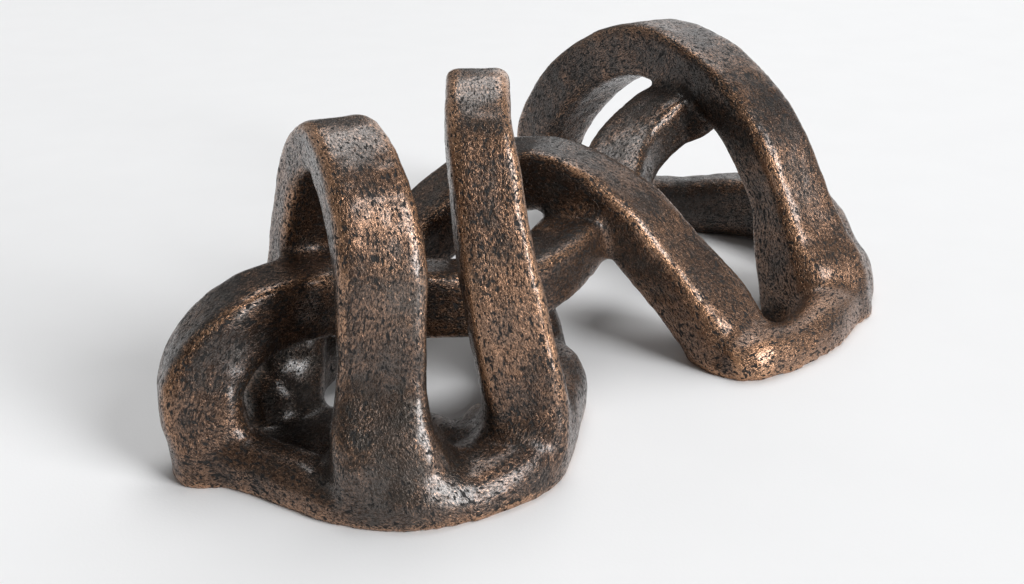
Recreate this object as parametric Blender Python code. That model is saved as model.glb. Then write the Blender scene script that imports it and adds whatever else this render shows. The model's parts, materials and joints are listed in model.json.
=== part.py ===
"""Abstract open-work clay sculpture: looping strands that grow out of two low base masses.

Built in metres, +Z up, standing on z = 0. +X runs along the length, from the toe of the front-left
base to the toe of the right base, and the arches stand across it. The whole form is one body: each
strand is swept along a smooth curve, the swept strands are fused and softened into each other, and
the underside is cut flat.
"""

import math

import bmesh
import bpy
import numpy as np
from mathutils import Vector

# Driving sizes, in metres
FOOT_SPAN = 0.476        # from the left toe to the right toe along the ground
GRID = 0.0025            # cell of the fusing grid
SOFTEN_PASSES = 2        # rounds of smoothing over the whole skin
FILLET_PASSES = 30       # further rounds where two strands run into each other
JOINT_REACH = 0.008      # how far from a crossing strand the filleting reaches
BASE_REACH = 0.020       # how far from a base mass the filleting reaches
SOFTEN_SHARE = 0.5       # how far each round moves the surface
SKIN = 0.0006            # what smoothing takes off the skin, put on beforehand
FACET_BUDGET = 9200      # triangles kept in the faceted solid
RING_POINTS = 32         # points around one section
STEP = 0.004             # distance between sections along a strand
ARRIS = 7.0              # corner power of the four-sided strands: 2 is an oval, higher is squarer
MOUND = 2.3              # corner power of the low base masses
ROOT_LOW = 0.005         # up to this height a strand's root is as round as a base mass
ROOT_HIGH = 0.045        # from this height up its corners have their full power

# Strands. Every station is (along, across, up, wide, deep, turn): the first five are hundredths of
# FOOT_SPAN, and turn is the heading in degrees, in plan, of the section's wide direction.
FRONT_ARCH = [
    (-33.6, -29.4, -1.5, 12.6, 10.4, -22),
    (-33.8, -29.4, 3.0, 11.6, 10.0, -24),
    (-34.3, -28.8, 6.0, 10.0, 9.0, -26),
    (-33.9, -27.9, 9.0, 8.6, 6.8, -28),
    (-33.5, -27.4, 12.4, 8.0, 5.6, -28),
    (-33.2, -27.2, 16.6, 7.9, 5.2, -26),
    (-32.6, -26.2, 23.1, 8.0, 5.0, -18),
    (-32.2, -23.2, 28.6, 7.4, 4.9, -11),
    (-31.5, -17.6, 31.5, 6.8, 4.8, -7),
    (-31.1, -12.2, 28.8, 6.6, 4.8, -7),
    (-31.0, -8.4, 22.8, 6.3, 4.8, -7),
    (-31.4, -6.4, 15.6, 6.3, 4.8, -7),
    (-33.2, -5.9, 8.2, 6.9, 6.0, -7),
    (-35.0, -6.6, -1.5, 8.6, 9.2, -7),
]
MIDDLE_ARCH = [
    (-20.2, -29.8, -1.5, 11.0, 11.4, -34),
    (-19.5, -30.7, 3.6, 8.8, 10.2, -32),
    (-19.6, -30.7, 7.4, 8.0, 7.8, -28),
    (-20.6, -29.9, 13.6, 7.5, 5.8, -25),
    (-21.1, -28.0, 21.0, 7.0, 5.2, -25),
    (-20.8, -26.0, 27.3, 6.4, 5.0, -25),
    (-19.7, -23.0, 32.0, 6.0, 5.0, -28),
    (-16.8, -18.4, 34.4, 5.9, 5.0, -32),
    (-13.4, -12.8, 29.2, 5.4, 5.0, -36),
    (-10.4, -8.2, 20.6, 5.4, 4.8, -38),
    (-7.7, -7.7, 12.6, 5.8, 5.2, -38),
    (-7.0, -11.8, 6.4, 7.6, 7.6, -40),
    (-9.4, -18.0, -1.0, 9.6, 11.0, -43),
]
BACK_ARCH = [
    (33.8, -20.6, -2.5, 14.0, 13.8, -1),
    (33.7, -19.6, 2.6, 12.2, 12.2, -1),
    (33.6, -16.9, 7.4, 10.2, 8.9, -1),
    (33.7, -14.1, 13.0, 8.7, 6.6, -1),
    (32.8, -11.3, 18.5, 8.6, 6.5, -1),
    (32.0, -6.3, 23.9, 8.6, 6.5, -1),
    (31.1, 0.7, 27.7, 8.6, 6.8, -1),
    (30.3, 9.8, 28.9, 8.6, 7.0, -1),
    (29.4, 19.0, 25.6, 8.6, 7.3, -1),
    (28.2, 25.8, 19.6, 8.8, 7.6, 0),
    (28.0, 30.5, 12.6, 8.7, 7.4, 8),
    (29.4, 32.2, 7.0, 7.8, 6.8, 22),
    (31.2, 31.4, 3.2, 7.2, 6.8, 34),
    (34.2, 26.4, 2.3, 6.8, 7.4, 34),
    (39.6, 15.2, 2.9, 6.8, 7.8, 30),
    (44.9, 5.2, 4.7, 7.4, 8.4, 18),
    (46.8, -4.0, 4.7, 8.6, 9.2, 0),
    (43.6, -11.6, 2.0, 9.6, 9.0, -32),
    (38.0, -16.4, 0.0, 9.0, 8.0, -60),
]
CROSSING = [
    (-45.7, -15.1, -2.5, 7.2, 8.4, -104),
    (-45.8, -14.5, 3.0, 7.2, 7.9, -106),
    (-45.9, -13.2, 8.8, 7.2, 7.5, -106),
    (-42.3, -12.8, 13.2, 7.2, 7.0, -100),
    (-36.0, -12.4, 14.8, 7.2, 6.9, -94),
    (-29.0, -12.2, 13.9, 7.2, 7.0, -92),
    (-19.5, -14.6, 12.0, 6.8, 7.2, -92),
    (-12.5, -16.4, 11.6, 6.6, 7.0, -90),
    (-5.2, -14.4, 12.3, 7.0, 6.3, -75),
    (2.8, -9.6, 13.1, 7.4, 6.0, -60),
    (10.6, -4.8, 13.6, 8.0, 6.4, -60),
    (18.5, 1.0, 17.6, 8.0, 6.5, -70),
    (25.2, 2.1, 21.1, 7.8, 6.6, -86),
    (29.8, 1.7, 22.5, 7.8, 6.8, -92),
    (32.4, 1.2, 26.4, 7.4, 6.0, -94),
]
LEANING_STRAND = [
    (14.2, -26.8, -2.5, 10.8, 8.4, 10),
    (14.0, -24.8, 1.6, 10.4, 7.8, 10),
    (13.0, -21.0, 5.8, 9.8, 6.9, 12),
    (10.7, -16.4, 10.5, 8.8, 6.6, 15),
    (7.6, -12.3, 15.5, 8.5, 6.7, 18),
    (4.0, -7.4, 18.7, 8.3, 7.0, 30),
    (1.4, -2.8, 19.2, 8.2, 7.4, 50),
    (-3.4, 2.2, 17.2, 7.8, 7.3, 75),
    (-11.2, 2.4, 12.9, 7.4, 7.2, 100),
    (-18.8, 0.6, 9.2, 7.2, 6.6, 110),
    (-25.9, -2.2, 6.0, 7.0, 6.2, 114),
    (-33.4, -5.0, 2.0, 7.0, 6.2, 112),
]
FRONT_RIDGE = [
    (-45.0, -15.6, 1.4, 5.8, 7.4, 45),
    (-42.8, -19.1, 0.8, 5.8, 6.8, 40),
    (-40.5, -23.7, 0.6, 6.0, 6.4, 34),
    (-37.8, -28.2, 0.4, 7.0, 6.6, 40),
    (-33.6, -31.2, 1.2, 9.2, 8.0, 63),
    (-28.5, -32.9, 0.4, 8.6, 7.6, 84),
    (-22.6, -32.6, 1.2, 9.2, 8.0, 104),
    (-18.3, -29.8, 1.8, 9.0, 9.0, 127),
    (-14.4, -26.2, 2.4, 8.6, 10.0, 139),
    (-10.9, -22.6, 2.2, 8.2, 9.4, 148),
    (-9.0, -17.8, 1.4, 8.0, 8.4, 152),
]
BACK_BOSS = [
    (-36.6, -8.0, -1.5, 8.0, 8.0, 0),
    (-36.6, -8.0, 2.0, 7.4, 7.4, 0),
    (-36.6, -7.8, 4.6, 5.6, 5.6, 0),
    (-36.6, -7.7, 5.8, 3.4, 3.4, 0),
]
BASIN = [
    (-44.0, -14.6, -0.9, 9.0, 4.4, 60),
    (-38.0, -15.4, -1.2, 13.0, 4.6, 80),
    (-31.0, -18.0, -1.2, 16.4, 5.0, 90),
    (-24.6, -27.4, -0.6, 9.6, 6.4, 96),
    (-17.0, -24.6, 0.0, 10.0, 6.4, 110),
]
RIGHT_BASE = [
    (10.6, -26.6, 0.4, 7.4, 6.6, 60),
    (14.5, -27.3, 0.8, 9.2, 7.6, 85),
    (20.0, -28.5, 0.3, 6.4, 7.2, 95),
    (27.4, -26.6, 0.7, 6.4, 8.2, 107),
    (36.6, -20.0, 1.0, 10.0, 8.2, 126),
    (43.2, -15.2, 1.0, 8.8, 8.0, 142),
    (46.0, -9.6, 1.4, 8.4, 8.0, 165),
    (46.2, -3.6, 1.6, 7.4, 7.0, 178),
]
RIGHT_BASIN = [
    (17.0, -23.4, -2.0, 8.0, 5.2, 95),
    (26.0, -20.8, -2.4, 9.0, 5.2, 105),
    (34.0, -16.4, -1.2, 8.0, 5.6, 115),
    (42.0, -9.0, -0.8, 9.0, 6.0, 130),
]
STRANDS = [
    (FRONT_ARCH, ARRIS, JOINT_REACH),
    (MIDDLE_ARCH, ARRIS, JOINT_REACH),
    (BACK_ARCH, ARRIS, JOINT_REACH),
    (CROSSING, ARRIS, JOINT_REACH),
    (LEANING_STRAND, ARRIS, JOINT_REACH),
    (FRONT_RIDGE, MOUND, BASE_REACH),
    (BASIN, MOUND, BASE_REACH),
    (BACK_BOSS, MOUND, JOINT_REACH),
    (RIGHT_BASE, MOUND, BASE_REACH),
    (RIGHT_BASIN, MOUND, BASE_REACH),
]


def clear_scene():
    """Remove every object that is in the scene."""
    for thing in list(bpy.data.objects):
        bpy.data.objects.remove(thing, do_unlink=True)


def smooth_path(stations):
    """Run a smooth curve through the stations and return closely spaced rows of all six values."""
    rows = np.array(stations, dtype=float)
    rows[:, :5] *= FOOT_SPAN / 100.0
    ends = [2 * rows[0] - rows[1]], [2 * rows[-1] - rows[-2]]
    rows = np.vstack([ends[0], rows, ends[1]])
    out = []
    for i in range(1, len(rows) - 2):
        before, start, stop, after = rows[i - 1], rows[i], rows[i + 1], rows[i + 2]
        count = max(2, int(math.ceil(np.linalg.norm(stop[:3] - start[:3]) / STEP)))
        for k in range(count):
            t = k / count
            out.append(0.5 * (2 * start + (stop - before) * t
                              + (2 * before - 5 * start + 4 * stop - after) * t ** 2
                              + (3 * start - before - 3 * stop + after) * t ** 3))
    out.append(rows[-2])
    return np.array(out)


def section(wide, deep, power):
    """Return the points of one rounded four-sided section, as (sideways, outwards) pairs."""
    points = []
    for k in range(RING_POINTS):
        angle = 2 * math.pi * k / RING_POINTS
        c, s = math.cos(angle), math.sin(angle)
        reach = (abs(c) ** power + abs(s) ** power) ** (-1 / power)
        points.append(((wide / 2 + SKIN) * reach * c, (deep / 2 + SKIN) * reach * s))
    return points


def sweep(bm, stations, power):
    """Sweep the rounded section along one strand and close both its ends."""
    path = smooth_path(stations)
    middle = path[:, :3]
    ahead = np.gradient(middle, axis=0)
    rings = []
    for row, forward in zip(path, ahead):
        forward = Vector(forward).normalized()
        side = Vector((math.cos(math.radians(row[5])), math.sin(math.radians(row[5])), 0.0))
        side = (side - forward * side.dot(forward)).normalized()
        out = side.cross(forward)
        centre = Vector(row[:3])
        risen = min(max((centre.z - ROOT_LOW) / (ROOT_HIGH - ROOT_LOW), 0.0), 1.0)
        points = section(row[3], row[4], MOUND + (power - MOUND) * risen)
        rings.append([bm.verts.new(centre + side * a + out * b) for a, b in points])
    for first, second in zip(rings, rings[1:]):
        for k in range(RING_POINTS):
            n = (k + 1) % RING_POINTS
            bm.faces.new((first[k], first[n], second[n], second[k]))
    bm.faces.new(list(reversed(rings[0])))
    bm.faces.new(rings[-1])


def object_from(bm, name):
    """Write a bmesh to a new object with outward faces and put the object in the scene."""
    bmesh.ops.recalc_face_normals(bm, faces=bm.faces)
    mesh = bpy.data.meshes.new(name)
    bm.to_mesh(mesh)
    bm.free()
    thing = bpy.data.objects.new(name, mesh)
    bpy.context.scene.collection.objects.link(thing)
    return thing


def settle(thing):
    """Replace an object's mesh with what its modifiers make of it, and drop the modifiers."""
    bpy.context.view_layer.update()
    shaped = thing.evaluated_get(bpy.context.evaluated_depsgraph_get())
    mesh = bpy.data.meshes.new_from_object(shaped)
    thing.modifiers.clear()
    thing.data = mesh


def closeness(points, stations):
    """Return each point's distance from one strand's surface, taken from its middle line."""
    path = smooth_path(stations)
    half = path[:, 3:5].mean(axis=1) / 2
    best = np.full(len(points), np.inf)
    for row, reach in zip(path, half):
        best = np.minimum(best, np.linalg.norm(points - row[:3], axis=1) - reach)
    return best


def fuse(thing):
    """Fuse the overlapping strands into one skin and fillet the joints between them."""
    grid = thing.modifiers.new("fuse", "REMESH")
    grid.mode = "VOXEL"
    grid.voxel_size = GRID
    grid.use_smooth_shade = False
    settle(thing)
    points = np.array([vert.co for vert in thing.data.vertices])
    gaps = np.array([closeness(points, stations) / reach for stations, power, reach in STRANDS])
    second = np.sort(gaps, axis=0)[1]
    weights = np.clip(1.0 - second, 0.0, 1.0)
    joints = thing.vertex_groups.new(name="joints")
    for index, weight in enumerate(weights):
        joints.add([index], float(weight), "REPLACE")
    fillet = thing.modifiers.new("fillet", "SMOOTH")
    fillet.factor = SOFTEN_SHARE
    fillet.iterations = FILLET_PASSES
    fillet.vertex_group = "joints"
    soft = thing.modifiers.new("soften", "SMOOTH")
    soft.factor = SOFTEN_SHARE
    soft.iterations = SOFTEN_PASSES
    settle(thing)
    thing.vertex_groups.clear()


def trim_underside(thing):
    """Cut everything below the ground away, which leaves flat faces to stand on."""
    bm = bmesh.new()
    bmesh.ops.create_cube(bm, size=2 * FOOT_SPAN)
    bmesh.ops.translate(bm, verts=bm.verts, vec=(0.0, 0.0, -FOOT_SPAN))
    block = object_from(bm, "ground_cutter")
    cut = thing.modifiers.new("flat_underside", "BOOLEAN")
    cut.operation = "DIFFERENCE"
    cut.solver = "EXACT"
    cut.object = block
    settle(thing)
    bpy.data.objects.remove(block, do_unlink=True)


def facet(thing):
    """Bring the skin down to the facet budget."""
    thing.data.calc_loop_triangles()
    thin = thing.modifiers.new("facets", "DECIMATE")
    thin.decimate_type = "COLLAPSE"
    thin.ratio = FACET_BUDGET / len(thing.data.loop_triangles)
    thin.use_collapse_triangulate = True
    settle(thing)


def centre_plan(thing):
    """Put the middle of the plan over the origin."""
    points = np.array([vert.co for vert in thing.data.vertices])
    low, high = points.min(axis=0), points.max(axis=0)
    shift = -(low + high) / 2
    for vert in thing.data.vertices:
        vert.co.x += shift[0]
        vert.co.y += shift[1]


def clay_finish():
    """Return the dark bronze-toned finish of the fired clay."""
    finish = bpy.data.materials.new("bronze_patina")
    finish.use_nodes = True
    shader = finish.node_tree.nodes["Principled BSDF"]
    shader.inputs["Base Color"].default_value = (0.105, 0.072, 0.055, 1.0)
    shader.inputs["Metallic"].default_value = 0.35
    shader.inputs["Roughness"].default_value = 0.42
    return finish


def main():
    """Build the sculpture as one solid."""
    clear_scene()
    bm = bmesh.new()
    for stations, power, reach in STRANDS:
        sweep(bm, stations, power)
    sculpture = object_from(bm, "sculpture")
    fuse(sculpture)
    facet(sculpture)
    trim_underside(sculpture)
    centre_plan(sculpture)
    sculpture.data.materials.clear()
    sculpture.data.materials.append(clay_finish())


main()
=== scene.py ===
"""Looks of the open-work clay sculpture: its fine surface, its bronze patina with copper rub, painted
shade and painted sheen, and a plain studio.
"""

import json
import logging
import math
from dataclasses import dataclass, field
from enum import Enum
from typing import Any, Union

import bpy
import numpy as np
from mathutils import Matrix, Vector, kdtree, noise

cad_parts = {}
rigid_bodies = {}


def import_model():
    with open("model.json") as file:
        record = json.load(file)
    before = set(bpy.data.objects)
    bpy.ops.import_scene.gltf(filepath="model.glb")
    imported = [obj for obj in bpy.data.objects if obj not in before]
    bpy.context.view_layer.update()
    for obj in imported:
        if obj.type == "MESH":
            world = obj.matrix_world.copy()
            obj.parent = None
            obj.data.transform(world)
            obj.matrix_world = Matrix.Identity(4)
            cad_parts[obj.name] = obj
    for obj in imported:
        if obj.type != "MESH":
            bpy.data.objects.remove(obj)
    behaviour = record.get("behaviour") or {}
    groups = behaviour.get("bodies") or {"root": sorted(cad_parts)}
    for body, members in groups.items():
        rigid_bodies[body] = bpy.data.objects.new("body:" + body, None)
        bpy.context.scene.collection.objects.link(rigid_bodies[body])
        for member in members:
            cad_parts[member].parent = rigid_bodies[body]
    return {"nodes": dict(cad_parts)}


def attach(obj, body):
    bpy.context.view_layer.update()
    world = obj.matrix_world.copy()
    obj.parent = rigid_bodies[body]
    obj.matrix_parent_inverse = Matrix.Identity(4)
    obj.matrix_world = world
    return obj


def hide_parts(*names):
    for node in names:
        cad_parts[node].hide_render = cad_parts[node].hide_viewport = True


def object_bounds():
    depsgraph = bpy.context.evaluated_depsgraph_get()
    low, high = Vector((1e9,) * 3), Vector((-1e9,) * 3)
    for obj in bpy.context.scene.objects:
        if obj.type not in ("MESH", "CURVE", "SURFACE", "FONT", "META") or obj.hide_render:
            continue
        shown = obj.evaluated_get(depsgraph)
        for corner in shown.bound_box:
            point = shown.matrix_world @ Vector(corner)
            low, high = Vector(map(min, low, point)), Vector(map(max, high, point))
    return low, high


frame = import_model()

LOG = logging.getLogger("sculpture")
MM = 0.001
CAD_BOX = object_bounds()

KNEAD_SHIFT = Vector((7, 3, 1))
DENT_SHIFT = Vector((2, 9, 5))

Colour = tuple[float, float, float]
Span = tuple[float, float]


class Layer(Enum):
    """The numbers and directions that the clay's mesh carries for its patina, its painted shade and its
    painted sheen.
    """

    ARRIS = "arris"
    HOLLOW = "hollow"
    RUB_AND_SHADE = "rub_and_shade"
    SMOOTH_AND_SHEEN = "smooth_and_sheen"
    RUN = "run"


# Shader expressions

NOISE_MIDDLE = 0.5
MIX_SHARE, MIX_FIRST, MIX_SECOND, MIX_RESULT = 0, 6, 7, 2


class Field:
    """A number that varies over the surface: one output socket of a shader node."""

    def __init__(self, graph: "ShaderGraph", socket: bpy.types.NodeSocket) -> None:
        """Wrap one socket of the graph's node tree."""
        self.graph = graph
        self.socket = socket

    def _maths(self, operation: str, first: "Number", second: "Number") -> "Field":
        """Add one Math node.

        Args:
            operation: name of the sum that the node works out.
            first: left-hand number or field.
            second: right-hand number or field.

        Returns:
            The field that the node gives.
        """
        made = self.graph.node("ShaderNodeMath", {"operation": operation}, {0: first, 1: second})
        return Field(self.graph, made.outputs[0])

    def __add__(self, other: "Number") -> "Field":
        """Return self + other."""
        return self._maths("ADD", self, other)

    def __radd__(self, other: "Number") -> "Field":
        """Return other + self."""
        return self._maths("ADD", other, self)

    def __sub__(self, other: "Number") -> "Field":
        """Return self - other."""
        return self._maths("SUBTRACT", self, other)

    def __rsub__(self, other: "Number") -> "Field":
        """Return other - self."""
        return self._maths("SUBTRACT", other, self)

    def __mul__(self, other: "Number") -> "Field":
        """Return self * other."""
        return self._maths("MULTIPLY", self, other)

    def __rmul__(self, other: "Number") -> "Field":
        """Return other * self."""
        return self._maths("MULTIPLY", other, self)

    def risen(self, low: float, high: float) -> "Field":
        """Rise smoothly from 0 to 1.

        Args:
            low: value at which the rise starts.
            high: value at which it ends.

        Returns:
            The risen field.
        """
        made = self.graph.node(
            "ShaderNodeMapRange",
            {"interpolation_type": "SMOOTHSTEP"},
            {"Value": self, "From Min": low, "From Max": high},
        )
        return Field(self.graph, made.outputs["Result"])

    def clamped(self) -> "Field":
        """Return the field held between 0 and 1."""
        made = self.graph.node("ShaderNodeClamp", {}, {"Value": self})
        return Field(self.graph, made.outputs["Result"])


Number = Union[Field, float]


class ShaderGraph:
    """A material's node tree, filled in by expressions."""

    def __init__(self, name: str) -> None:
        """Make an empty material with this name."""
        self.material = bpy.data.materials.new(name)
        self.material.use_nodes = True
        self.tree = self.material.node_tree
        self.tree.nodes.clear()

    def node(self, kind: str, settings: dict[str, Any], sockets: dict[Any, Any]) -> bpy.types.Node:
        """Add one node.

        Args:
            kind: the node's type.
            settings: the node's own settings, which are set first.
            sockets: what each input takes, by name or number: a value, a socket or a field.

        Returns:
            The new node.
        """
        made = self.tree.nodes.new(kind)
        for name, value in settings.items():
            setattr(made, name, value)
        for key, value in sockets.items():
            taken = value.socket if isinstance(value, Field) else value
            if isinstance(taken, bpy.types.NodeSocket):
                self.tree.links.new(taken, made.inputs[key])
            else:
                made.inputs[key].default_value = taken
        return made

    def number(self, layer: Layer) -> Field:
        """Return a number stored on the mesh."""
        made = self.node("ShaderNodeAttribute", {"attribute_name": layer.value}, {})
        return Field(self, made.outputs["Fac"])

    def place(self) -> bpy.types.NodeSocket:
        """Return the surface's place in the part's own frame, in millimetres."""
        where = self.node("ShaderNodeTexCoord", {}, {}).outputs["Object"]
        made = self.node("ShaderNodeVectorMath", {"operation": "SCALE"}, {0: where, "Scale": 1 / MM})
        return made.outputs[0]

    def drawn_place(self, length: float) -> bpy.types.NodeSocket:
        """Return the place squeezed along the strand, which draws marks out along it.

        Args:
            length: how many times longer than wide a mark comes out.

        Returns:
            The squeezed place, in millimetres.
        """
        where = self.place()
        stored = self.node("ShaderNodeAttribute", {"attribute_name": Layer.RUN.value}, {})
        run = stored.outputs["Vector"]
        reach = self.node("ShaderNodeVectorMath", {"operation": "DOT_PRODUCT"}, {0: where, 1: run})
        squeeze = Field(self, reach.outputs["Value"]) * (1 / length - 1)
        pull = self.node("ShaderNodeVectorMath", {"operation": "SCALE"}, {0: run, "Scale": squeeze})
        made = self.node("ShaderNodeVectorMath", {"operation": "ADD"}, {0: where, 1: pull.outputs[0]})
        return made.outputs[0]

    def cloud(self, where: bpy.types.NodeSocket, size_mm: float, detail: float = 2.0,
              rough: float = 0.5, warp: float = 0.0) -> Field:
        """Return cloudy noise around 0.5.

        Args:
            where: the place to look the noise up at, in millimetres.
            size_mm: width of one patch.
            detail: how many finer layers are added.
            rough: weight of the finer layers.
            warp: how far the noise bends itself.

        Returns:
            The noise field.
        """
        made = self.node(
            "ShaderNodeTexNoise",
            {"noise_dimensions": "3D"},
            {"Vector": where, "Scale": 1.0 / size_mm, "Detail": detail,
             "Roughness": rough, "Distortion": warp},
        )
        return Field(self, made.outputs["Fac"])

    def mixed(self, share: Number, first: Any, second: Any) -> bpy.types.NodeSocket:
        """Blend two colours.

        Args:
            share: how far to go from the first towards the second, from 0 to 1.
            first: the colour at share 0.
            second: the colour at share 1.

        Returns:
            The socket of the blended colour.
        """
        made = self.node(
            "ShaderNodeMix",
            {"data_type": "RGBA", "clamp_factor": True},
            {MIX_SHARE: share, MIX_FIRST: opaque(first), MIX_SECOND: opaque(second)},
        )
        return made.outputs[MIX_RESULT]


def opaque(colour: Any) -> Any:
    """Give a colour full alpha.

    Args:
        colour: three numbers, or a socket.

    Returns:
        The colour with its alpha, or the socket as it is.
    """
    if isinstance(colour, tuple) and len(colour) == 3:
        return (*colour, 1.0)
    return colour


# Finishes


@dataclass(frozen=True)
class Hole:
    """One kind of small hole in the clay, and what it does to the surface there.

    Attributes:
        size_mm: width of the noise whose peaks become holes.
        edge: noise values at which a hole starts and at which it is at its full.
        uneven: how much more of the clay is holes in some patches than in others.
        filled: how much wear fills the holes.
        cover: share of the colour that turns black.
        rough: what the hole adds to the roughness.
        metal_lost: what it takes from the metallic share.
        wax_lost: share of the wax that is missing in it.
        depth: its depth as a share of the relief.
    """

    size_mm: float
    edge: Span
    uneven: float
    filled: float
    cover: float
    rough: float
    metal_lost: float
    wax_lost: float
    depth: float

    def shown(self, cloud: Field, uneven: Field, smooth_and_sheen: Field) -> Field:
        """Find where the holes are.

        Args:
            cloud: noise whose peaks become holes.
            uneven: noise that gives some patches more holes than others.
            smooth_and_sheen: how far the surface was worn smooth, which fills holes.

        Returns:
            1 in a hole and 0 outside.
        """
        return (cloud + uneven * self.uneven - smooth_and_sheen * self.filled).risen(*self.edge)


@dataclass(frozen=True)
class BronzePatina:
    """Dark bronze patina on pitted clay, with copper rub over the raised grain and the arrises, painted
    shade in the hollows and dark spots, and painted grey sheen on the smooth spots.

    A name that ends in edge holds the values between which its colour or shine comes in. The other
    names in its group say how much each cause counts for.
    """

    soot: Colour = (0.0045, 0.0030, 0.0025)
    # The next colour is a dark patina tone and also the colour of the painted shade in the hollows and the
    # dark spots.
    bitter_and_shade: Colour = (0.012, 0.0065, 0.0040)
    umber: Colour = (0.046, 0.0240, 0.0145)
    # The next colour is a grey patina tone and also the painted sheen on the two arch tops.
    graphite_and_sheen: Colour = (0.066, 0.054, 0.045)
    copper: Colour = (0.290, 0.158, 0.092)
    pale_copper: Colour = (0.500, 0.272, 0.150)
    pit: Hole = Hole(
        size_mm=1.55, edge=(0.580, 0.625), uneven=0.08, filled=0.06, cover=0.97,
        rough=0.40, metal_lost=0.55, wax_lost=1.0, depth=0.75,
    )
    prick: Hole = Hole(
        size_mm=0.80, edge=(0.580, 0.660), uneven=0.12, filled=0.02, cover=0.55,
        rough=0.15, metal_lost=0.30, wax_lost=0.6, depth=0.30,
    )
    grain_mm: float = 0.85
    grain_rise: float = 0.66
    grain_rough: float = 0.25
    patch_mm: float = 11.0
    warm_mm: float = 38.5
    rub_warm: float = 0.50
    rub_patch: float = 0.40
    rub_handled: float = 0.16
    rub_arris: float = 0.12
    copper_edge: Span = (0.33, 0.64)
    copper_cover: float = 0.85
    copper_metal: float = 0.14
    copper_low: float = 0.25
    pale_edge: Span = (0.55, 1.05)
    pale_grain: float = 1.5
    pale_handled: float = 0.25
    dark_edge: Span = (-0.30, 0.90)
    # Painted shade: this weight darkens the hollows and creases.
    hollow_shade: float = 0.4
    # Painted shade: with this weight the spots with copper below 0 turn darker.
    spot_dark_and_shade: float = 0.7
    dark_patch: float = 1.8
    # The smooth spots also turn lighter, part of the painted sheen on the arch tops.
    dark_smooth: float = 0.5
    grey_edge: Span = (0.45, 0.62)
    grey_patch: float = 0.25
    # Painted sheen: this weight greys the smooth spots, which on the arch tops stands in for the sheen
    # they catch from above.
    smooth_grey_and_sheen: float = 0.7
    rough: float = 0.26
    metal: float = 0.66
    shine: float = 0.50
    burnish: float = 0.60
    shine_hollow: float = 0.3
    shine_edge: Span = (0.34, 0.56)
    shine_rough: float = 0.25
    shine_index: float = 1.7
    relief_mm: float = 0.60
    bowl: float = 0.45
    mark_length: float = 1.9

    def dress(self, body: bpy.types.Object) -> bpy.types.Material:
        """Make the material and put it on the body.

        Args:
            body: the clay's mesh, which carries every layer.

        Returns:
            The new material.
        """
        graph = ShaderGraph("bronze_clay")
        arris = graph.number(Layer.ARRIS)
        hollow = graph.number(Layer.HOLLOW)
        rub_and_shade = graph.number(Layer.RUB_AND_SHADE)
        smooth_and_sheen = graph.number(Layer.SMOOTH_AND_SHEEN)
        where = graph.place()
        drawn = graph.drawn_place(self.mark_length)

        pits = graph.cloud(drawn, self.pit.size_mm, detail=1.5, rough=0.5, warp=0.3)
        pricks = graph.cloud(drawn, self.prick.size_mm, detail=1.0, rough=0.5)
        grain = graph.cloud(drawn, self.grain_mm, detail=2.5, rough=0.65, warp=0.6)
        patch = graph.cloud(where, self.patch_mm, detail=3.0, rough=0.6, warp=0.4)
        warm = graph.cloud(where, self.warm_mm, detail=2.0)
        uneven = patch - NOISE_MIDDLE
        coarse = grain - NOISE_MIDDLE

        pit = self.pit.shown(pits, uneven, smooth_and_sheen)
        prick = self.prick.shown(pricks, uneven, smooth_and_sheen)
        # The spots enter here too; below 0 they take copper away, part of their painted shade.
        rub = ((warm - NOISE_MIDDLE) * self.rub_warm - uneven * self.rub_patch
               + rub_and_shade * self.rub_handled + arris * self.rub_arris)
        coppered = (grain - pits * self.copper_low + rub).risen(*self.copper_edge)
        edged = (arris + coarse * self.pale_grain + rub_and_shade * self.pale_handled).risen(*self.pale_edge)
        # Painted shade: the hollows and the dark spots pull the colour towards the darkest patina tone;
        # patches add random dark tone.
        dark_tone_and_shade = (hollow * self.hollow_shade - rub_and_shade * self.spot_dark_and_shade
                    + uneven * self.dark_patch - smooth_and_sheen * self.dark_smooth).risen(*self.dark_edge)
        # Painted sheen: the smooth spots turn grey, which on the arch tops stands in for their sheen;
        # patches add random grey tone.
        grey_tone_and_sheen = patch.risen(*self.grey_edge) * self.grey_patch + smooth_and_sheen * self.smooth_grey_and_sheen

        base = graph.mixed(dark_tone_and_shade, self.umber, self.bitter_and_shade)
        base = graph.mixed(grey_tone_and_sheen.clamped(), base, self.graphite_and_sheen)
        base = graph.mixed(coppered * self.copper_cover, base, self.copper)
        base = graph.mixed(edged * self.copper_cover, base, self.pale_copper)
        base = graph.mixed(prick * self.prick.cover, base, self.soot)
        base = graph.mixed(pit * self.pit.cover, base, self.soot)

        rough = self.rough - coarse * self.grain_rough + pit * self.pit.rough + prick * self.prick.rough
        metal = (self.metal + coppered * self.copper_metal
                 - pit * self.pit.metal_lost - prick * self.prick.metal_lost)
        polish = self.shine + smooth_and_sheen.clamped() * self.burnish - hollow * self.shine_hollow
        unbroken = (1 - pit * self.pit.wax_lost) * (1 - prick * self.prick.wax_lost)
        waxed = polish * unbroken * grain.risen(*self.shine_edge)
        height = (grain * self.grain_rise - pit * self.pit.depth
                  - pits * self.bowl - prick * self.prick.depth)
        bump = graph.node(
            "ShaderNodeBump", {}, {"Strength": 1.0, "Distance": self.relief_mm * MM, "Height": height}
        )
        shader = graph.node(
            "ShaderNodeBsdfPrincipled", {},
            {"Base Color": base, "Roughness": rough.clamped(), "Metallic": metal.clamped(),
             "Normal": bump.outputs[0], "Coat Weight": waxed.clamped(),
             "Coat Roughness": self.shine_rough, "Coat IOR": self.shine_index},
        )
        graph.node("ShaderNodeOutputMaterial", {}, {"Surface": shader.outputs[0]})
        body.data.materials.clear()
        body.data.materials.append(graph.material)
        return graph.material


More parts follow.
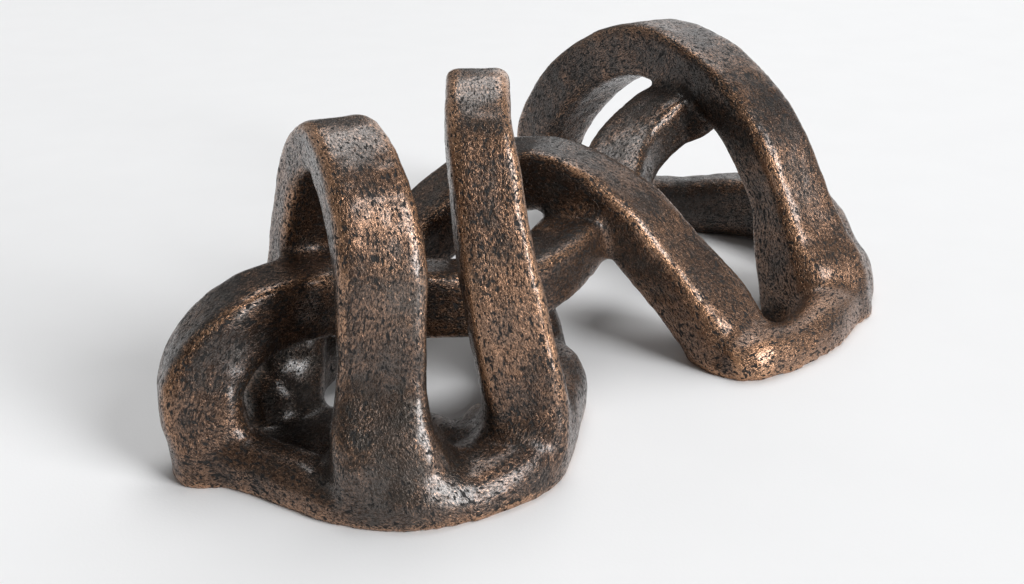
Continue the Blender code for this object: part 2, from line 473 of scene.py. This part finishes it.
@dataclass(frozen=True)
class PlainPaint:
    """A flat pale paint with a faint grain."""

    colour: Colour = (0.86, 0.86, 0.865)
    shade: Colour = (0.83, 0.83, 0.835)
    rough: float = 0.62
    patch_mm: float = 60.0
    grain_mm: float = 1.6
    grain_strength: float = 0.15
    grain_depth: float = 0.3 * MM

    def dress(self, thing: bpy.types.Object) -> bpy.types.Material:
        """Make the material and put it on an object.

        Args:
            thing: the object to paint.

        Returns:
            The new material.
        """
        graph = ShaderGraph("pale_paint")
        where = graph.place()
        base = graph.mixed(graph.cloud(where, self.patch_mm, detail=3.0), self.colour, self.shade)
        grain = graph.cloud(where, self.grain_mm, detail=2.0)
        bump = graph.node(
            "ShaderNodeBump", {},
            {"Strength": self.grain_strength, "Distance": self.grain_depth, "Height": grain},
        )
        shader = graph.node(
            "ShaderNodeBsdfPrincipled", {},
            {"Base Color": base, "Roughness": self.rough, "Normal": bump.outputs[0]},
        )
        graph.node("ShaderNodeOutputMaterial", {}, {"Surface": shader.outputs[0]})
        thing.data.materials.append(graph.material)
        return graph.material


# The clay


@dataclass(frozen=True)
class WearAndPaintedLightSpot:
    """A spot that changes the patina: copper rub, painted shade, worn smoothness and painted grey sheen,
    as its numbers give.

    Attributes:
        place_mm: middle of the spot in the part's frame.
        reach_mm: distance at which the spot has faded to about a third.
        copper: how much copper it shows; below 0 the spot is darker than the rest, mostly painted shade on
            faces turned from the light, inside the arches and in the hollow.
        smooth: how smooth it is worn; the grey this gives the colour is painted sheen on the two arch
            tops.
    """

    place_mm: tuple[float, float, float]
    reach_mm: float
    copper: float = 0.0
    smooth: float = 0.0

    def share(self, points: np.ndarray) -> np.ndarray:
        """Return how strongly the spot is felt at each point, from 0 to 1."""
        away = np.linalg.norm(points - np.array(self.place_mm) * MM, axis=1) / (self.reach_mm * MM)
        return np.exp(-away ** 2)


# Spots with copper below 0 are mostly painted shade, on faces turned from the light, inside the arches and
# in the hollow; the grey of the smooth spots on the two arch tops is painted sheen.
WEAR_AND_PAINTED_LIGHT_SPOTS = (
    WearAndPaintedLightSpot((-162, -98, 160), 26, copper=0.05, smooth=0.7),
    WearAndPaintedLightSpot((-93, -101, 173), 28, copper=0.05, smooth=0.7),
    WearAndPaintedLightSpot((-161, -130, 128), 24, copper=0.1),
    WearAndPaintedLightSpot((-173, -134, 92), 18, copper=0.5),
    WearAndPaintedLightSpot((-153, -138, 97), 17, copper=-0.6, smooth=0.9),
    WearAndPaintedLightSpot((-223, -84, 29), 26, copper=0.4),
    WearAndPaintedLightSpot((-213, -78, 66), 34, copper=-0.5),
    WearAndPaintedLightSpot((-174, -146, 44), 40, copper=-0.5, smooth=0.45),
    WearAndPaintedLightSpot((-172, -160, 20), 34, copper=-0.2, smooth=0.35),
    WearAndPaintedLightSpot((-168, -49, 23), 36, copper=-1.0, smooth=0.7),
    WearAndPaintedLightSpot((-108, -148, 88), 30, copper=0.5, smooth=0.3),
    WearAndPaintedLightSpot((34, -88, 64), 26, copper=0.3, smooth=0.4),
    WearAndPaintedLightSpot((83, -10, 96), 20, smooth=0.4),
    WearAndPaintedLightSpot((146, -76, 76), 24, smooth=0.4),
    WearAndPaintedLightSpot((-105, -154, 63), 24, copper=0.6),
    WearAndPaintedLightSpot((29, -53, 97), 24, copper=0.7, smooth=0.2),
    WearAndPaintedLightSpot((48, -123, 27), 30, copper=0.5),
    WearAndPaintedLightSpot((80, -150, 13), 48, copper=0.9),
    WearAndPaintedLightSpot((153, -121, 22), 30, copper=0.7),
    WearAndPaintedLightSpot((112, 111, 94), 50, copper=-0.5),
    WearAndPaintedLightSpot((152, -86, 45), 46, copper=0.6),
    WearAndPaintedLightSpot((129, -15, 117), 60, copper=-0.4),
    WearAndPaintedLightSpot((20, -20, 120), 60, copper=-0.5),
    WearAndPaintedLightSpot((180, 38, 30), 60, copper=-0.5),
    WearAndPaintedLightSpot((-60, -40, 60), 50, copper=-0.5),
    WearAndPaintedLightSpot((60, 0, 135), 60, copper=-0.5),
)


@dataclass
class ClayBody:
    """The sculpture's fine skin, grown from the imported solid."""

    node: str = "sculpture"
    weld_reach: float = 0.01 * MM
    cell: float = 2.1 * MM
    pass_share: float = 0.5
    first_passes: int = 8
    wide_passes: int = 14
    crisp: float = 0.8
    crisp_limit: float = 0.8 * MM
    crisp_inward: float = 0.2
    ground_band: float = 0.3 * MM
    full_wear: float = 0.9 * MM
    hollow_passes: int = 4
    swell_size: float = 26 * MM
    swell_depth: float = 0.55 * MM
    knead_size: float = 8 * MM
    knead_depth: float = 0.30 * MM
    dent_size: float = 4.2 * MM
    dent_depth: float = 0.30 * MM
    run_reach: float = 20 * MM
    run_count: int = 420
    run_samples: int = 20
    seed: int = 7
    spots: tuple[WearAndPaintedLightSpot, ...] = WEAR_AND_PAINTED_LIGHT_SPOTS
    finish: BronzePatina = field(default_factory=BronzePatina)
    edges: np.ndarray = field(init=False)
    degree: np.ndarray = field(init=False)

    def build(self) -> bpy.types.Object:
        """Make the skin, give it its relief and attributes, and dress it.

        Returns:
            The finished object, riding on the root body.
        """
        body = self.copy_solid()
        self.refine(body)
        mesh = body.data
        edges = np.empty(len(mesh.edges) * 2, dtype=np.int64)
        mesh.edges.foreach_get("vertices", edges)
        self.edges = edges.reshape(-1, 2)
        self.degree = np.bincount(edges, minlength=len(mesh.vertices)).astype(float)
        points = read_vectors(mesh, "vertices", "co")
        normals = read_vectors(mesh, "vertices", "normal")
        bulge = ((points - self.eased(points, self.wide_passes)) * normals).sum(axis=1)

        self.work_surface(mesh, points, normals, bulge)
        self.store_wear_and_shade(mesh, points, bulge)
        self.store_runs(mesh, points, normals)
        for face in mesh.polygons:
            face.use_smooth = True

        self.finish.dress(body)
        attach(body, "root")
        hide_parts(self.node)
        return body

    def work_surface(self, mesh: bpy.types.Mesh, points: np.ndarray, normals: np.ndarray,
                     bulge: np.ndarray) -> None:
        """Sharpen the arrises and add the hand-worked relief, all inside the solid's box.

        Args:
            mesh: the clay's mesh.
            points: its vertices.
            normals: their normals.
            bulge: how far each vertex stands out from the surface around it.
        """
        inward = -self.crisp_inward * self.crisp_limit
        push = self.crisp * np.clip(bulge, inward, self.crisp_limit)
        push += self.relief(points)
        moved = points + normals * push[:, None]
        standing = points[:, 2] < self.ground_band
        moved[standing, 2] = points[standing, 2]
        moved = np.clip(moved, CAD_BOX[0], CAD_BOX[1])
        mesh.vertices.foreach_set("co", moved.ravel())
        mesh.update()

    def store_wear_and_shade(self, mesh: bpy.types.Mesh, points: np.ndarray, bulge: np.ndarray) -> None:
        """Keep on each vertex how worn and how hollow it is, and how strongly the spots' copper rub,
        painted shade, smoothing and painted sheen are felt there.

        Args:
            mesh: the clay's mesh.
            points: its vertices before the relief.
            bulge: how far each vertex stands out from the surface around it.
        """
        hollow = np.clip(-bulge / self.full_wear, 0, 1)
        self.store(mesh, Layer.ARRIS, np.clip(bulge / self.full_wear, 0, 1))
        self.store(mesh, Layer.HOLLOW, self.eased(hollow[:, None], self.hollow_passes)[:, 0])
        self.store(mesh, Layer.RUB_AND_SHADE, sum(spot.copper * spot.share(points) for spot in self.spots))
        self.store(mesh, Layer.SMOOTH_AND_SHEEN, sum(spot.smooth * spot.share(points) for spot in self.spots))

    def copy_solid(self) -> bpy.types.Object:
        """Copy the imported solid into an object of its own.

        Returns:
            The copy, in the part's frame.
        """
        source = frame["nodes"][self.node]
        mesh = source.data.copy()
        mesh.transform(source.matrix_world)
        body = bpy.data.objects.new("clay_body", mesh)
        bpy.context.scene.collection.objects.link(body)
        return body

    def refine(self, body: bpy.types.Object) -> None:
        """Weld the copy's seams, remesh it finely and take the solid's facets off it.

        Args:
            body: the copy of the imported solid.
        """
        weld = body.modifiers.new("weld", "WELD")
        weld.merge_threshold = self.weld_reach
        grid = body.modifiers.new("grid", "REMESH")
        grid.mode = "VOXEL"
        grid.voxel_size = self.cell
        soft = body.modifiers.new("soft", "SMOOTH")
        soft.factor = self.pass_share
        soft.iterations = self.first_passes
        bpy.context.view_layer.update()
        shaped = body.evaluated_get(bpy.context.evaluated_depsgraph_get())
        mesh = bpy.data.meshes.new_from_object(shaped)
        body.modifiers.clear()
        body.data = mesh

    def eased(self, values: np.ndarray, passes: int) -> np.ndarray:
        """Spread values over neighbouring vertices.

        Args:
            values: one row for each vertex.
            passes: rounds of averaging.

        Returns:
            The averaged rows.
        """
        count = len(values)
        first, second = self.edges.T
        rows = values.copy()
        for _ in range(passes):
            for column in range(rows.shape[1]):
                line = rows[:, column]
                near = np.bincount(first, line[second], count) + np.bincount(second, line[first], count)
                rows[:, column] = (1 - self.pass_share) * line + self.pass_share * near / self.degree
        return rows

    def relief(self, points: np.ndarray) -> np.ndarray:
        """Work out the hand-worked relief: broad swells, kneading and small dents.

        Args:
            points: the vertices.

        Returns:
            The height of the relief at each vertex.
        """
        depth = np.empty(len(points))
        for index, point in enumerate(points):
            place = Vector(point)
            swell = noise.noise(place / self.swell_size)
            knead = noise.noise(place / self.knead_size + KNEAD_SHIFT)
            dent = noise.noise(place / self.dent_size + DENT_SHIFT)
            depth[index] = (self.swell_depth * swell + self.knead_depth * knead
                            - self.dent_depth * max(0.0, dent))
        return depth

    def store_runs(self, mesh: bpy.types.Mesh, points: np.ndarray, normals: np.ndarray) -> None:
        """Keep on each face the direction in which its strand runs.

        Across a strand the normals turn, and along it they hardly do, so the direction in which
        the normals nearby spread least is the strand's own. It is found at a few hundred places,
        and each face takes the nearest.

        Args:
            mesh: the clay's mesh.
            points: its vertices.
            normals: their normals.
        """
        draw = np.random.default_rng(self.seed)
        picked = np.sort(draw.choice(len(points), self.run_samples * self.run_count, False))
        nearby = kdtree.KDTree(len(picked))
        for row, index in enumerate(picked):
            nearby.insert(Vector(points[index]), row)
        nearby.balance()
        places = picked[::self.run_samples]
        patches = kdtree.KDTree(len(places))
        runs = np.empty((len(places), 3))
        for row, index in enumerate(places):
            patches.insert(Vector(points[index]), row)
            near = [hit[1] for hit in nearby.find_range(Vector(points[index]), self.run_reach)]
            spread = normals[picked[near]]
            runs[row] = np.linalg.eigh(spread.T @ spread)[1][:, 0]
        patches.balance()
        chosen = [patches.find(face.center)[1] for face in mesh.polygons]
        layer = mesh.attributes.new(Layer.RUN.value, "FLOAT_VECTOR", "FACE")
        layer.data.foreach_set("vector", runs[chosen].astype(np.float32).ravel())

    @staticmethod
    def store(mesh: bpy.types.Mesh, layer: Layer, values: np.ndarray) -> None:
        """Keep one number for each vertex on the mesh."""
        made = mesh.attributes.new(layer.value, "FLOAT", "POINT")
        made.data.foreach_set("value", values.astype(np.float32))


def read_vectors(mesh: bpy.types.Mesh, part: str, name: str) -> np.ndarray:
    """Read one vector for each element of a mesh.

    Args:
        mesh: the mesh.
        part: the kind of element, such as vertices.
        name: the element's property that holds the vector.

    Returns:
        One row of three numbers for each element.
    """
    rows = np.empty(len(getattr(mesh, part)) * 3)
    getattr(mesh, part).foreach_get(name, rows)
    return rows.reshape(-1, 3)


# The studio


@dataclass
class SoftLight:
    """One broad, even light far away from the object.

    Attributes:
        name: the lamp's name.
        heading: where it stands, in degrees from +X in plan.
        height: how high it stands, in degrees above the floor.
        spread: how wide it looks from the object, in degrees.
        power: its strength.
        colour: its colour.
    """

    name: str
    heading: float
    height: float
    spread: float
    power: float
    colour: Colour = (1.0, 1.0, 1.0)

    def build(self) -> None:
        """Put the light in the scene, shining from its heading and height in degrees."""
        data = bpy.data.lights.new(self.name, "SUN")
        data.energy = self.power
        data.angle = math.radians(self.spread)
        data.color = self.colour
        lamp = bpy.data.objects.new(self.name, data)
        turn = Matrix.Rotation(math.radians(self.heading + 90), 4, "Z")
        lamp.matrix_world = turn @ Matrix.Rotation(math.radians(90 - self.height), 4, "X")
        bpy.context.scene.collection.objects.link(lamp)


STUDIO_LIGHTS = (
    SoftLight("ceiling", 45, 67, 40, 1.32),
    SoftLight("window_low", -74, 12, 16, 1.10, (0.98, 0.99, 1.0)),
    SoftLight("window_high", -66, 33, 30, 2.40, (0.98, 0.99, 1.0)),
    SoftLight("far_right", 30, 22, 50, 0.60, (0.98, 0.99, 1.0)),
    SoftLight("far_left", 118, 22, 60, 0.24, (1.0, 0.98, 0.95)),
)


@dataclass
class Studio:
    """A plain pale floor, soft light and the camera of the photograph."""

    floor_width: float = 60.0
    nearest: float = 20 * MM
    camera_place: tuple[float, float, float] = (-0.3837, -0.5563, 0.300)
    camera_heading: float = 55.7
    camera_dip: float = 22.9
    focal_pixels: float = 1215.0
    picture_width: float = 1024.0
    sensor_mm: float = 36.0
    sky: Colour = (1.0, 1.0, 1.0)
    sky_strength: float = 0.115
    view_transform: str = "Standard"
    lights: tuple[SoftLight, ...] = STUDIO_LIGHTS

    def build(self) -> None:
        """Build the floor, the lights and the camera."""
        self.build_floor()
        self.build_sky()
        for light in self.lights:
            light.build()
        bpy.context.scene.view_settings.view_transform = self.view_transform
        self.build_camera()

    def build_floor(self) -> None:
        """Lay the floor at z = 0."""
        half = self.floor_width / 2
        mesh = bpy.data.meshes.new("floor")
        corners = [(-half, -half, 0), (half, -half, 0), (half, half, 0), (-half, half, 0)]
        mesh.from_pydata(corners, [], [(0, 1, 2, 3)])
        floor = bpy.data.objects.new("floor", mesh)
        bpy.context.scene.collection.objects.link(floor)
        PlainPaint().dress(floor)

    def build_sky(self) -> None:
        """Surround the scene with even white light."""
        world = bpy.data.worlds.new("studio")
        bpy.context.scene.world = world
        world.use_nodes = True
        background = world.node_tree.nodes["Background"]
        background.inputs["Color"].default_value = (*self.sky, 1.0)
        background.inputs["Strength"].default_value = self.sky_strength

    def build_camera(self) -> None:
        """Stand the camera where the photograph was taken from."""
        data = bpy.data.cameras.new("camera")
        data.sensor_width = self.sensor_mm
        data.lens = self.sensor_mm * self.focal_pixels / self.picture_width
        data.clip_start = self.nearest
        camera = bpy.data.objects.new("camera", data)
        heading = math.radians(self.camera_heading - 90)
        tilt = math.radians(90 - self.camera_dip)
        turn = Matrix.Rotation(heading, 4, "Z") @ Matrix.Rotation(tilt, 4, "X")
        camera.matrix_world = Matrix.Translation(self.camera_place) @ turn
        bpy.context.scene.collection.objects.link(camera)
        bpy.context.scene.camera = camera


def main() -> None:
    """Build the clay and the studio around it."""
    logging.basicConfig(level=logging.INFO, format="%(name)s: %(message)s")
    body = ClayBody().build()
    LOG.info("clay_body: %d vertices, %d faces", len(body.data.vertices), len(body.data.polygons))
    Studio().build()
    LOG.info("studio: floor, lights and camera")


if __name__ == "__main__":
    main()
